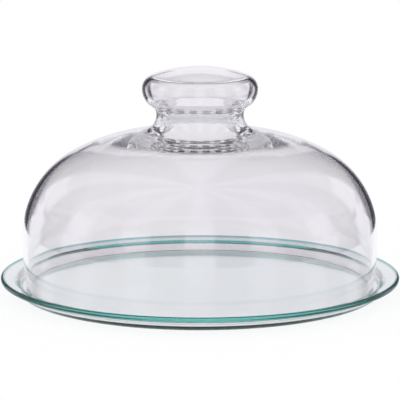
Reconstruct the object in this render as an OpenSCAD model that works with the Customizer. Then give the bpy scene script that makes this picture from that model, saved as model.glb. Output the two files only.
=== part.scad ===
// A glass cheese dome: a blown cloche with a hollow knob that stands loose on a shallow glass plate.
// The origin is the middle of the plate's underside, with +Z up. Lengths are in millimetres.

/* [Plate] */
// Diameter over the edge of the rim
plate_d = 240; // [232:1:320]
// Thickness of the glass
plate_t = 3.2; // [2.6:0.1:5]
// How far the edge reaches out past the dome's foot
rim_reach = 15.6; // [14:0.2:30]
// Flat floor left outside the dome's foot
floor_margin = 0.8; // [0.4:0.1:1.5]
// Slope of the step up from the floor, in degrees
step_slope = 68; // [40:1:75]
// Inner radius of the step's two bends
step_bend = 3; // [2:0.2:4]
// Slope of the brim outside the step, in degrees
brim_slope = 15; // [5:1:25]

/* [Dome side] */
// How far the side bulges out past the foot
side_bulge = 2.2; // [0.5:0.1:5]
// Height of the widest level above the foot
widest_z = 31; // [20:0.5:45]
// Thickness of the wall from the foot up to the shoulder
wall = 2.5; // [2:0.1:4]
// Radius that rounds the two corners of the ground foot
foot_round = 0.8; // [0.3:0.1:0.9]

/* [Dome shoulder and crown] */
// Radius of the rounded shoulder
shoulder_r = 56; // [45:1:70]
// Turn of the shoulder from upright to the crown, in degrees
shoulder_turn = 61; // [50:1:70]
// Radius of the flatter crown
crown_r = 108; // [90:1:160]
// How much tighter the crown's inside curves, which thickens it towards the neck
crown_gather = 19.5; // [8:0.5:22]

/* [Neck] */
// Radius of the neck at its narrowest
neck_r = 26; // [23:0.5:30]
// Thickness of the glass in the neck
neck_wall = 6; // [3:0.5:8]
// Hollow radius between crown and neck
neck_flare = 10.8; // [8:0.2:15]
// Hollow radius between neck and knob
neck_cove = 6; // [4:0.2:9]
// Lip radius where the neck's bore opens to the crown's inside
crown_lip = 11; // [5:0.5:12]
// Lip radius where it opens to the knob's hollow
knob_lip = 7; // [4:0.5:8]

/* [Knob] */
// Radius of the knob at its widest
knob_r = 34.6; // [31:0.2:42]
// Thickness of the knob's wall
knob_wall = 2.4; // [1.6:0.1:3.5]
// Radius of the rounding below its widest level
knob_under_r = 12; // [9:0.5:16]
// Radius of the rounding above its widest level
knob_over_r = 8.6; // [6:0.2:14]
// Radius of the knob's slightly domed top
knob_top_r = 88; // [60:1:160]

/* [Hidden] */

// Curves are drawn to this chord error, and in turns no coarser than this
chord_error = 0.02;
coarsest_turn = 6;
around = 180;

function at(angle) = [cos(angle), sin(angle)];
function angle_of(v) = atan2(v[1], v[0]);
function turn_step(r) = min(coarsest_turn, 2 * acos(1 - chord_error / r));
function turns(r, from, to) = max(2, ceil(abs(to - from) / turn_step(r)));

// Points of an arc. Its last point is left to the stretch that follows, unless that is a straight one.
function arc(centre, r, from, to, with_last = false) =
    let (n = turns(r, from, to))
    [for (i = [0:with_last ? n : n - 1]) centre + r * at(from + (to - from) * i / n)];

// Plate: a sheet of even thickness with a round edge. Its middle line bends up, then back.
foot_r = plate_d / 2 - rim_reach;
half_t = plate_t / 2;
bend_mid = step_bend + half_t;
low_centre = [foot_r + floor_margin, plate_t + step_bend];
high_centre = low_centre + 2 * bend_mid * at(step_slope - 90);
brim_start = high_centre + bend_mid * at(brim_slope + 90);
brim_length = (plate_d / 2 - half_t - brim_start[0]) / cos(brim_slope);
edge_centre = brim_start + brim_length * at(brim_slope);

plate_section = concat(
    [[0, plate_t], [0, 0]],
    arc(low_centre, step_bend + plate_t, -90, step_slope - 90),
    arc(high_centre, step_bend, step_slope + 90, brim_slope + 90, true),
    arc(edge_centre, half_t, brim_slope - 90, brim_slope + 90, true),
    arc(high_centre, step_bend + plate_t, brim_slope + 90, step_slope + 90),
    arc(low_centre, step_bend, step_slope - 90, -90, true)
);

// Dome: a chain of arcs, each tangent to the next. Heights are above its foot.
// Side, one arc from the foot up to the widest level
side_r = (widest_z ^ 2 + side_bulge ^ 2) / (2 * side_bulge);
widest_r = foot_r + side_bulge;
side_centre = [widest_r - side_r, widest_z];

// Shoulder and crown
shoulder_centre = [widest_r - shoulder_r, widest_z];
crown_centre = shoulder_centre + (shoulder_r - crown_r) * at(shoulder_turn);
crown_in_r = crown_r - wall - crown_gather;
crown_in_centre = crown_centre + crown_gather * at(shoulder_turn);

// Neck: a flare off the crown and a cove under the knob, which meet where the neck is narrowest
flare_reach = crown_r + neck_flare;
flare_turn = acos((neck_r + neck_flare - crown_centre[0]) / flare_reach);
flare_centre = crown_centre + flare_reach * at(flare_turn);
neck_z = flare_centre[1];
cove_centre = [neck_r + neck_cove, neck_z];

// Knob: rounded below and above its widest level, with a top whose centre is on the axis
under_reach = neck_cove + knob_under_r;
under_x = knob_r - knob_under_r;
under_turn = acos((cove_centre[0] - under_x) / under_reach);
under_centre = [under_x, neck_z + under_reach * sin(under_turn)];
over_centre = [knob_r - knob_over_r, under_centre[1]];
top_reach = knob_top_r - knob_over_r;
top_turn = acos(over_centre[0] / top_reach);
top_centre = over_centre - top_reach * at(top_turn);

// Bore of the neck, with a lip down to the crown's inside and one up to the knob's hollow
bore_r = neck_r - neck_wall;
crown_lip_x = bore_r + crown_lip;
crown_lip_turn = acos((crown_lip_x - crown_in_centre[0]) / (crown_in_r + crown_lip));
crown_lip_centre = crown_in_centre + (crown_in_r + crown_lip) * at(crown_lip_turn);
knob_lip_x = bore_r + knob_lip;
knob_lip_reach = knob_under_r - knob_wall + knob_lip;
knob_lip_turn = acos((knob_lip_x - under_centre[0]) / knob_lip_reach);
knob_lip_centre = under_centre + knob_lip_reach * at(-knob_lip_turn);

// Ground foot: a flat ring between two rounded corners, tangent to the side's two faces
foot_drop = widest_z - foot_round;
foot_out_x = side_centre[0] + sqrt((side_r - foot_round) ^ 2 - foot_drop ^ 2);
foot_in_x = side_centre[0] + sqrt((side_r - wall + foot_round) ^ 2 - foot_drop ^ 2);
foot_out_centre = [foot_out_x, foot_round];
foot_in_centre = [foot_in_x, foot_round];
foot_out_turn = angle_of(foot_out_centre - side_centre);
foot_in_turn = angle_of(foot_in_centre - side_centre);

dome_outside = concat(
    arc(foot_out_centre, foot_round, -90, foot_out_turn),
    arc(side_centre, side_r, foot_out_turn, 0),
    arc(shoulder_centre, shoulder_r, 0, shoulder_turn),
    arc(crown_centre, crown_r, shoulder_turn, flare_turn),
    arc(flare_centre, neck_flare, 180 + flare_turn, 180),
    arc(cove_centre, neck_cove, 180, 180 - under_turn),
    arc(under_centre, knob_under_r, -under_turn, 0),
    arc(over_centre, knob_over_r, 0, top_turn),
    arc(top_centre, knob_top_r, top_turn, 90, true)
);

dome_inside = concat(
    arc(top_centre, knob_top_r - knob_wall, 90, top_turn),
    arc(over_centre, knob_over_r - knob_wall, top_turn, 0),
    arc(under_centre, knob_under_r - knob_wall, 0, -knob_lip_turn),
    arc(knob_lip_centre, knob_lip, 180 - knob_lip_turn, 180, true),
    arc(crown_lip_centre, crown_lip, 180, 180 + crown_lip_turn),
    arc(crown_in_centre, crown_in_r, crown_lip_turn, shoulder_turn),
    arc(shoulder_centre, shoulder_r - wall, shoulder_turn, 0),
    arc(side_centre, side_r - wall, 0, foot_in_turn),
    arc(foot_in_centre, foot_round, 180 + foot_in_turn, 270, true)
);

module plate() {
    color([0.66, 0.83, 0.79, 0.6])
        rotate_extrude($fn = around) polygon(plate_section);
}

// The foot stands on the plate's floor
module dome() {
    color([0.87, 0.89, 0.91, 0.5])
        translate([0, 0, plate_t])
            rotate_extrude($fn = around) polygon(concat(dome_outside, dome_inside));
}

plate();
dome();
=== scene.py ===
import math

import bpy
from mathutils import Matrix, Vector


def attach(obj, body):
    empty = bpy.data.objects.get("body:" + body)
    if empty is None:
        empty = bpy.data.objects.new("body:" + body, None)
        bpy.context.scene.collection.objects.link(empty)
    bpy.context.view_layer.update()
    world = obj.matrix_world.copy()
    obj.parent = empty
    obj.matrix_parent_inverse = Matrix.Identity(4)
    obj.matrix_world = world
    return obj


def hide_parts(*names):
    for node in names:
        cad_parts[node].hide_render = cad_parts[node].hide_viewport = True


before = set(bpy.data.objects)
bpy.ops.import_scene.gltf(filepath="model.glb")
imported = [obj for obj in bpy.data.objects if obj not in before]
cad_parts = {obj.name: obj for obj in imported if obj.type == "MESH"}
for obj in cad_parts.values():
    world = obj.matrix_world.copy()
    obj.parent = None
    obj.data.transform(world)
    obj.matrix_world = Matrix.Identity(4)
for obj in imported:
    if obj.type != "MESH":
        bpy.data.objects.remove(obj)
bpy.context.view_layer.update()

MM = 0.001

# Sections in millimetres, as in the part. Heights of the dome are above its foot.
# The plate is drawn 0.1 narrower than its 240, because the CAD's circle is cut into facets.
PLATE_D = 239.9
PLATE_T = 3.2
FLOOR_MARGIN = 0.8
STEP_SLOPE = 68.0
STEP_BEND = 3.0
BRIM_SLOPE = 15.0
FOOT_R = 104.4
SIDE_BULGE = 2.2
WIDEST_Z = 31.0
WALL = 2.5
FOOT_ROUND = 0.8
SHOULDER_R = 56.0
SHOULDER_TURN = 61.0
CROWN_R = 108.0
CROWN_GATHER = 19.5
NECK_R = 26.0
NECK_WALL = 6.0
NECK_FLARE = 10.8
NECK_COVE = 6.0
CROWN_LIP = 11.0
KNOB_LIP = 7.0
KNOB_R = 34.6
KNOB_WALL = 2.4
KNOB_UNDER_R = 12.0
KNOB_OVER_R = 8.6
KNOB_TOP_R = 88.0

# How finely the sections are cut: steps round the axis, then the longest steps along a section
AROUND = 216
LONGEST_STEP = 2.0
FLOOR_STEP = 4.0
WIDEST_TURN = 3.0

# Studio: white windows stand every 45 degrees round the object, with dark flags between them, a dark bar
# low over each window and a dark ceiling. What is mirrored sees softer flags. Angles are in degrees.
WINDOW_TURN = 45.0
FLAG_EDGE = (9.0, 11.5)
FLAG_TOP = (80.0, 89.0)
BAR_EDGE = (3.0, 5.0)
BAR_FOOT = (6.0, 7.5)
BAR_TOP = (10.8, 11.5)
CEILING = (25.0, 30.0)
FLAG_COLOUR = (0.03, 0.025, 0.04)
MIRRORED_COLOUR = (0.80, 0.78, 0.86)
MIRRORED_EDGE = (6.0, 14.0)
MIRRORED_SHARE = 0.9
AMBIENT = 1.0
FLOOR_R = 0.33
FLOOR_DROP = 0.0002
FLOOR_GLOW = 0.75
# Rays guided in the sheet need many bounces, or its bright lines end black
BOUNCES = 96

# Glass. Two tints a piece drift into each other. The plate's offset its green depth colour in a straight
# look through, so that only its rim turns green; a painted dark green shade on the rim adds to it. Heights,
# radii and waves are in metres.
DOME_IOR = 1.47
PLATE_IOR = 1.5
DOME_TINT = ((0.945, 0.935, 0.955), (0.915, 0.905, 0.93))
PLATE_TINT = ((1.0, 0.905, 0.925), (0.985, 0.89, 0.91))
PLATE_COLOUR = (0.0, 0.68, 0.64)
PLATE_DENSITY = 36.0
# The plate's rim is painted dark green between these radii, with less transmission: painted shade for the
# light guided along the sheet.
RIM_SHADE_REACH = (0.1172, 0.1192)
RIM_PAINTED_SHADE = (0.10, 0.48, 0.44)
RIM_SHADE_CLEAR = 0.87
WAVE = 0.000006
ROOT_WAVE = 0.00002
ROOT_FROM = (0.080, 0.090)
ROOT_TO = (0.108, 0.100)
ROUGHEST = 0.002
SHADOW_TINT = 0.95
CLOUD_SCALE = 14.0
CLOUD_RANGE = (0.35, 0.65)
ROUGH_SCALE = 55.0
ROUGH_RANGE = (0.35, 0.75)
WAVE_SCALE = 22.0
ROOT_SCALE = 48.0
ROOT_DISTORTION = 1.2


def at(degrees):
    return Vector((math.cos(math.radians(degrees)), math.sin(math.radians(degrees))))


def acos_degrees(x):
    return math.degrees(math.acos(x))


def arc(centre, r, start, end, with_last=False):
    """Points of an arc. Its last point is left to the next stretch, unless that is a straight one."""
    turn = abs(end - start)
    n = max(2, math.ceil(turn / WIDEST_TURN), math.ceil(math.radians(turn) * r / LONGEST_STEP))
    return [centre + r * at(start + (end - start) * i / n) for i in range(n + 1 if with_last else n)]


def line(a, b, step):
    """Points from a up to b, without b."""
    n = max(1, math.ceil((b - a).length / step))
    return [a.lerp(b, i / n) for i in range(n)]


def plate_section():
    """Outline of the plate, from the axis below, out round the edge and back to the axis on top."""
    half_t = PLATE_T / 2
    bend_mid = STEP_BEND + half_t
    low = Vector((FOOT_R + FLOOR_MARGIN, PLATE_T + STEP_BEND))
    high = low + 2 * bend_mid * at(STEP_SLOPE - 90)
    brim = high + bend_mid * at(BRIM_SLOPE + 90)
    edge = brim + (PLATE_D / 2 - half_t - brim.x) / at(BRIM_SLOPE).x * at(BRIM_SLOPE)
    under = arc(low, STEP_BEND + PLATE_T, -90, STEP_SLOPE - 90)
    under += arc(high, STEP_BEND, STEP_SLOPE + 90, BRIM_SLOPE + 90, True)
    rim = arc(edge, half_t, BRIM_SLOPE - 90, BRIM_SLOPE + 90, True)
    top = arc(high, STEP_BEND + PLATE_T, BRIM_SLOPE + 90, STEP_SLOPE + 90)
    top += arc(low, STEP_BEND, STEP_SLOPE - 90, -90, True)
    points = line(Vector((0, 0)), under[0], FLOOR_STEP) + under[:-1]
    points += line(under[-1], rim[0], LONGEST_STEP) + rim[:-1]
    points += line(rim[-1], top[0], LONGEST_STEP) + top[:-1]
    return points + line(top[-1], Vector((0, PLATE_T)), FLOOR_STEP) + [Vector((0, PLATE_T))]


def dome_section():
    """Outline of the dome: up its outside to the axis, then down its inside."""
    side_r = (WIDEST_Z**2 + SIDE_BULGE**2) / (2 * SIDE_BULGE)
    widest_r = FOOT_R + SIDE_BULGE
    side = Vector((widest_r - side_r, WIDEST_Z))
    shoulder = Vector((widest_r - SHOULDER_R, WIDEST_Z))
    crown = shoulder + (SHOULDER_R - CROWN_R) * at(SHOULDER_TURN)
    crown_in_r = CROWN_R - WALL - CROWN_GATHER
    crown_in = crown + CROWN_GATHER * at(SHOULDER_TURN)

    flare_reach = CROWN_R + NECK_FLARE
    flare_turn = acos_degrees((NECK_R + NECK_FLARE - crown.x) / flare_reach)
    flare = crown + flare_reach * at(flare_turn)
    cove = Vector((NECK_R + NECK_COVE, flare.y))

    under_reach = NECK_COVE + KNOB_UNDER_R
    under_x = KNOB_R - KNOB_UNDER_R
    under_turn = acos_degrees((cove.x - under_x) / under_reach)
    under = Vector((under_x, flare.y + under_reach * at(under_turn).y))
    over = Vector((KNOB_R - KNOB_OVER_R, under.y))
    top_reach = KNOB_TOP_R - KNOB_OVER_R
    top_turn = acos_degrees(over.x / top_reach)
    top = over - top_reach * at(top_turn)

    bore_r = NECK_R - NECK_WALL
    low_turn = acos_degrees((bore_r + CROWN_LIP - crown_in.x) / (crown_in_r + CROWN_LIP))
    low_lip = crown_in + (crown_in_r + CROWN_LIP) * at(low_turn)
    high_reach = KNOB_UNDER_R - KNOB_WALL + KNOB_LIP
    high_turn = acos_degrees((bore_r + KNOB_LIP - under.x) / high_reach)
    high_lip = under + high_reach * at(-high_turn)

    drop = WIDEST_Z - FOOT_ROUND
    foot_out = Vector((side.x + math.sqrt((side_r - FOOT_ROUND) ** 2 - drop**2), FOOT_ROUND))
    foot_in = Vector((side.x + math.sqrt((side_r - WALL + FOOT_ROUND) ** 2 - drop**2), FOOT_ROUND))
    out_turn = math.degrees(math.atan2(foot_out.y - side.y, foot_out.x - side.x))
    in_turn = math.degrees(math.atan2(foot_in.y - side.y, foot_in.x - side.x))

    outside = (
        arc(foot_out, FOOT_ROUND, -90, out_turn)
        + arc(side, side_r, out_turn, 0)
        + arc(shoulder, SHOULDER_R, 0, SHOULDER_TURN)
        + arc(crown, CROWN_R, SHOULDER_TURN, flare_turn)
        + arc(flare, NECK_FLARE, 180 + flare_turn, 180)
        + arc(cove, NECK_COVE, 180, 180 - under_turn)
        + arc(under, KNOB_UNDER_R, -under_turn, 0)
        + arc(over, KNOB_OVER_R, 0, top_turn)
        + arc(top, KNOB_TOP_R, top_turn, 90, True)
    )
    upper_lip = arc(high_lip, KNOB_LIP, 180 - high_turn, 180, True)
    lower_lip = arc(low_lip, CROWN_LIP, 180, 180 + low_turn)
    inside = (
        arc(top, KNOB_TOP_R - KNOB_WALL, 90, top_turn)
        + arc(over, KNOB_OVER_R - KNOB_WALL, top_turn, 0)
        + arc(under, KNOB_UNDER_R - KNOB_WALL, 0, -high_turn)
        + upper_lip[:-1]
        + line(upper_lip[-1], lower_lip[0], LONGEST_STEP)
        + lower_lip
        + arc(crown_in, crown_in_r, low_turn, SHOULDER_TURN)
        + arc(shoulder, SHOULDER_R - WALL, SHOULDER_TURN, 0)
        + arc(side, side_r - WALL, 0, in_turn)
        + arc(foot_in, FOOT_ROUND, 180 + in_turn, 270, True)
    )
    return outside + inside


def turned(name, points, closed, base):
    """A smooth mesh of revolution. Where the outline meets the axis, it closes to one point."""
    verts, rings = [], []
    for p in points:
        if p.x < 1e-6:
            rings.append([len(verts)] * AROUND)
            verts.append((0, 0, (p.y + base) * MM))
            continue
        rings.append(list(range(len(verts), len(verts) + AROUND)))
        for k in range(AROUND):
            a = 2 * math.pi * k / AROUND
            verts.append((p.x * math.cos(a) * MM, p.x * math.sin(a) * MM, (p.y + base) * MM))
    faces = []
    pairs = list(zip(rings, rings[1:])) + ([(rings[-1], rings[0])] if closed else [])
    for low, high in pairs:
        for k in range(AROUND):
            m = (k + 1) % AROUND
            quad = [low[k], low[m], high[m], high[k]]
            face = [v for i, v in enumerate(quad) if v != quad[i - 1]]
            if len(set(face)) > 2:
                faces.append(face)
    mesh = bpy.data.meshes.new(name)
    mesh.from_pydata(verts, [], faces)
    mesh.validate()
    mesh.shade_smooth()
    piece = bpy.data.objects.new(name, mesh)
    bpy.context.scene.collection.objects.link(piece)
    return piece


class Tree:
    """A small helper that adds and links nodes."""

    def __init__(self, owner):
        owner.use_nodes = True
        self.nodes, self.links = owner.node_tree.nodes, owner.node_tree.links
        self.nodes.clear()

    def node(self, kind, **values):
        n = self.nodes.new(kind)
        for key, value in values.items():
            setattr(n, key, value)
        return n

    def put(self, socket, value):
        if isinstance(value, bpy.types.NodeSocket):
            self.links.new(value, socket)
        else:
            socket.default_value = value

    def math(self, operation, *values):
        n = self.node("ShaderNodeMath", operation=operation)
        for socket, value in zip(n.inputs, values):
            self.put(socket, value)
        return n.outputs[0]

    def ramp(self, value, low, high, to_low=0.0, to_high=1.0):
        n = self.node("ShaderNodeMapRange", interpolation_type="SMOOTHSTEP")
        keys = ("Value", "From Min", "From Max", "To Min", "To Max")
        for key, v in zip(keys, (value, low, high, to_low, to_high)):
            self.put(n.inputs[key], v)
        return n.outputs["Result"]

    def mix_colour(self, factor, a, b):
        n = self.node("ShaderNodeMix", data_type="RGBA")
        for key, v in (("Factor", factor), ("A", a), ("B", b)):
            socket = next(s for s in n.inputs if s.name == key and s.enabled)
            self.put(socket, v)
        return next(s for s in n.outputs if s.enabled)

    def mix(self, factor, a, b):
        n = self.node("ShaderNodeMixShader")
        for socket, v in zip(n.inputs, (factor, a, b)):
            self.put(socket, v)
        return n.outputs[0]

    def noise(self, place, scale, detail=2.0, distortion=0.0):
        n = self.node("ShaderNodeTexNoise")
        self.put(n.inputs["Vector"], place)
        for key, v in (("Scale", scale), ("Detail", detail), ("Distortion", distortion)):
            n.inputs[key].default_value = v
        return n.outputs["Fac"]


def glass(name, tints, ior, root_wave=0.0, depth_colour=None, rim_shade_colour=None):
    """Clear glass with faint clouds, patches of roughness and waves. It lets light through to the floor."""
    mat = bpy.data.materials.new(name)
    t = Tree(mat)
    place = t.node("ShaderNodeTexCoord").outputs["Object"]
    split = t.node("ShaderNodeSeparateXYZ")
    t.put(split.inputs[0], place)
    x, y, height = split.outputs

    shader = t.node("ShaderNodeBsdfPrincipled")
    cloud = t.ramp(t.noise(place, CLOUD_SCALE), *CLOUD_RANGE)
    colour = t.mix_colour(cloud, (*tints[0], 1), (*tints[1], 1))
    patches = t.noise(place, ROUGH_SCALE, 4.0)
    t.put(shader.inputs["Roughness"], t.ramp(patches, *ROUGH_RANGE, 0.0, ROUGHEST))
    shader.inputs["IOR"].default_value = ior
    shader.inputs["Transmission Weight"].default_value = 1.0
    if rim_shade_colour:
        # At the fire-polished edge the rim is painted dark green by radius: painted shade for the darker
        # green that light guided along the sheet gives the real edge. A share of it is diffuse and
        # scatters.
        radius = t.math("SQRT", t.math("ADD", t.math("MULTIPLY", x, x), t.math("MULTIPLY", y, y)))
        colour = t.mix_colour(t.ramp(radius, *RIM_SHADE_REACH), colour, (*rim_shade_colour, 1))
        t.put(shader.inputs["Transmission Weight"], t.ramp(radius, *RIM_SHADE_REACH, 1.0, RIM_SHADE_CLEAR))
    t.put(shader.inputs["Base Color"], colour)

    # Slow waves all over, and stronger drawn-out ones where the glass was gathered to the neck
    slow = t.math("MULTIPLY", t.noise(place, WAVE_SCALE, 1.0), WAVE)
    if root_wave:
        near_root = t.math("MULTIPLY", t.ramp(height, *ROOT_FROM), t.ramp(height, *ROOT_TO))
        drawn = t.math("MULTIPLY", t.noise(place, ROOT_SCALE, 2.0, ROOT_DISTORTION), root_wave)
        slow = t.math("ADD", slow, t.math("MULTIPLY", drawn, near_root))
    bump = t.node("ShaderNodeBump")
    t.put(bump.inputs["Height"], slow)
    bump.inputs["Distance"].default_value = 1.0
    t.put(shader.inputs["Normal"], bump.outputs[0])

    path = t.node("ShaderNodeLightPath")
    clear = t.node("ShaderNodeBsdfTransparent")
    clear.inputs["Color"].default_value = (SHADOW_TINT, SHADOW_TINT, SHADOW_TINT, 1)
    for_light = t.math("MAXIMUM", path.outputs["Is Shadow Ray"], path.outputs["Is Diffuse Ray"])
    out = t.node("ShaderNodeOutputMaterial")
    t.put(out.inputs["Surface"], t.mix(for_light, shader.outputs[0], clear.outputs[0]))
    if depth_colour:
        depth = t.node("ShaderNodeVolumeAbsorption")
        depth.inputs["Color"].default_value = (*depth_colour, 1)
        depth.inputs["Density"].default_value = PLATE_DENSITY
        t.put(out.inputs["Volume"], depth.outputs[0])
    return mat


def make_camera():
    """The photograph's view: nearly 1.5 m away and 12 degrees above the plate."""
    data = bpy.data.cameras.new("camera")
    camera = bpy.data.objects.new("camera", data)
    bpy.context.scene.collection.objects.link(camera)
    away, height, aim = 1.4205, 0.3159, 0.0549
    focal_px, frame_px = 2407.0, 400
    data.sensor_width = 36.0
    data.lens = focal_px / frame_px * data.sensor_width
    data.clip_start = 0.05
    camera.location = (0, -away, height)
    look = Vector((0, 0, aim)) - camera.location
    camera.rotation_euler = look.to_track_quat("-Z", "Y").to_euler()
    bpy.context.scene.camera = camera


def make_world():
    """White for the lens, and the studio for what the glass refracts or mirrors."""
    world = bpy.data.worlds.new("studio")
    bpy.context.scene.world = world
    t = Tree(world)
    split = t.node("ShaderNodeSeparateXYZ")
    t.put(split.inputs[0], t.node("ShaderNodeTexCoord").outputs["Generated"])
    x, y, z = split.outputs
    turn = t.math("MULTIPLY", t.math("ARCTAN2", x, y), 180 / math.pi)
    off_window = t.math("PINGPONG", turn, WINDOW_TURN / 2)
    rise = t.math("MULTIPLY", t.math("ARCSINE", z), 180 / math.pi)
    below_top = t.ramp(rise, FLAG_TOP[1], FLAG_TOP[0])
    bar = t.math("MULTIPLY", t.ramp(rise, *BAR_FOOT), t.ramp(rise, BAR_TOP[1], BAR_TOP[0]))
    bar = t.math("MULTIPLY", bar, t.ramp(off_window, *BAR_EDGE))
    flag = t.math("MULTIPLY", t.math("MAXIMUM", t.ramp(off_window, *FLAG_EDGE), bar), below_top)
    flag = t.math("MAXIMUM", flag, t.ramp(rise, *CEILING))
    soft_flag = t.math("MULTIPLY", t.ramp(off_window, *MIRRORED_EDGE), below_top)
    soft_flag = t.math("MULTIPLY", soft_flag, MIRRORED_SHARE)

    refracted = t.node("ShaderNodeBackground")
    t.put(refracted.inputs["Color"], t.mix_colour(flag, (1, 1, 1, 1), (*FLAG_COLOUR, 1)))
    mirrored = t.node("ShaderNodeBackground")
    t.put(mirrored.inputs["Color"], t.mix_colour(soft_flag, (*MIRRORED_COLOUR, 1), (*FLAG_COLOUR, 1)))
    ambient = t.node("ShaderNodeBackground")
    ambient.inputs["Color"].default_value = (1, 1, 1, 1)
    ambient.inputs["Strength"].default_value = AMBIENT
    white = t.node("ShaderNodeBackground")
    white.inputs["Color"].default_value = (1, 1, 1, 1)

    path = t.node("ShaderNodeLightPath").outputs
    seen = t.mix(path["Is Glossy Ray"], ambient.outputs[0], mirrored.outputs[0])
    seen = t.mix(path["Is Transmission Ray"], seen, refracted.outputs[0])
    seen = t.mix(path["Is Camera Ray"], seen, white.outputs[0])
    t.put(t.node("ShaderNodeOutputWorld").inputs["Surface"], seen)


def make_floor():
    """A white table top. It glows for the lens and through glass, and a share of it takes the shadow."""
    bpy.ops.mesh.primitive_circle_add(
        vertices=128, radius=FLOOR_R, fill_type="NGON", location=(0, 0, -FLOOR_DROP)
    )
    floor = bpy.context.active_object
    floor.name = "floor"
    mat = bpy.data.materials.new("floor")
    t = Tree(mat)
    shade = t.node("ShaderNodeBsdfDiffuse")
    shade.inputs["Color"].default_value = (1, 1, 1, 1)
    glow = t.node("ShaderNodeEmission")
    path = t.node("ShaderNodeLightPath").outputs
    lit = t.math("MAXIMUM", path["Is Camera Ray"], path["Is Glossy Ray"])
    lit = t.math("MAXIMUM", lit, path["Is Transmission Ray"])
    share = t.math("MULTIPLY", lit, FLOOR_GLOW)
    out = t.node("ShaderNodeOutputMaterial")
    t.put(out.inputs["Surface"], t.mix(share, shade.outputs[0], glow.outputs[0]))
    floor.data.materials.append(mat)


def dress(piece, mat, node):
    """Give a piece its material, and put it in the place of its CAD node."""
    piece.data.materials.append(mat)
    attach(piece, "root")
    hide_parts(node)


scene = bpy.context.scene
scene.view_settings.view_transform = "Standard"
scene.cycles.max_bounces = BOUNCES
scene.cycles.transmission_bounces = BOUNCES
scene.cycles.glossy_bounces = BOUNCES
scene.cycles.caustics_reflective = False
scene.cycles.caustics_refractive = False

make_camera()
make_world()
make_floor()

dome_glass = glass("dome_glass", DOME_TINT, DOME_IOR, ROOT_WAVE)
dress(turned("glass_dome", dome_section(), True, PLATE_T), dome_glass, "dome")
plate_glass = glass("plate_glass", PLATE_TINT, PLATE_IOR, 0.0, PLATE_COLOUR, RIM_PAINTED_SHADE)
dress(turned("glass_plate", plate_section(), False, 0), plate_glass, "plate")
